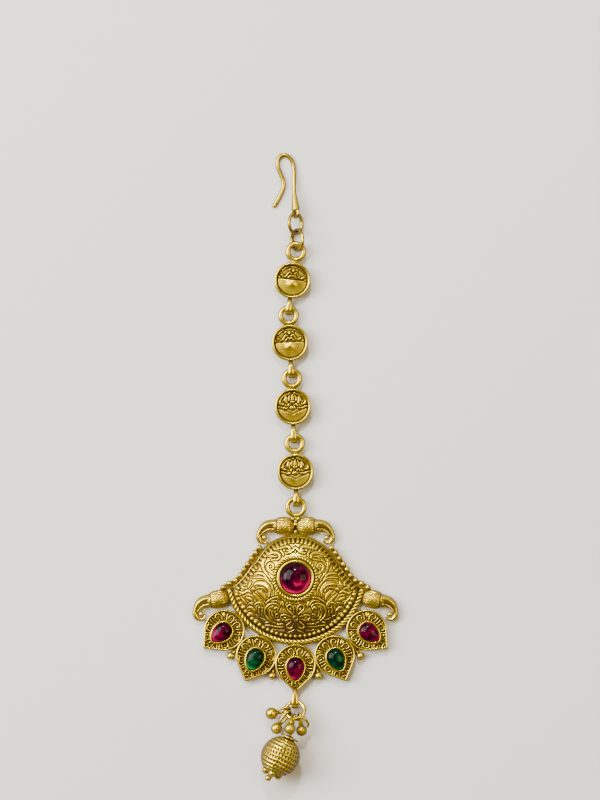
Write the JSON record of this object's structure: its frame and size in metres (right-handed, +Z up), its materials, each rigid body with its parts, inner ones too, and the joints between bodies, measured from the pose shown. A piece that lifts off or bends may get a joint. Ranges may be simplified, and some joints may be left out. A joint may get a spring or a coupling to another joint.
{
  "type": "maang tikka forehead jewel",
  "caption": "Forehead jewel lying flat: hair hook, jump rings and medallion chain, a domed pendant with rope border, pear stone settings and birds, and a latticed bead drop.",
  "frame": {"origin": "middle of the footprint, on the surface that the jewel lies on", "axes": "+Y along the chain towards the hair hook, +Z up out of the face, +X to the right seen from above"},
  "size_m": [0.0476, 0.1446, 0.0089],
  "materials": {
    "antique_gold": "antique gold plating, polished on the high places and dark brown in the recesses",
    "red_stone": "polished deep red cabochon on a dark foil",
    "green_stone": "polished deep green cabochon on a dark foil"
  },
  "bodies": {
    "root": {"hair_hook": "antique_gold", "hook_ring_1": "antique_gold", "hook_ring_2": "antique_gold", "chain_link_1": "antique_gold", "chain_link_2": "antique_gold", "chain_link_3": "antique_gold", "chain_link_4": "antique_gold", "pendant": "antique_gold", "centre_stone": "red_stone", "pear_stone_1": "red_stone", "pear_stone_2": "green_stone", "pear_stone_3": "red_stone", "pear_stone_4": "green_stone", "pear_stone_5": "red_stone", "drop_ring": "antique_gold", "ball_drop_1": "antique_gold", "ball_drop_2": "antique_gold", "ball_drop_3": "antique_gold", "ball_drop_4": "antique_gold", "drop_bead": "antique_gold"}
  },
  "joints": []
}
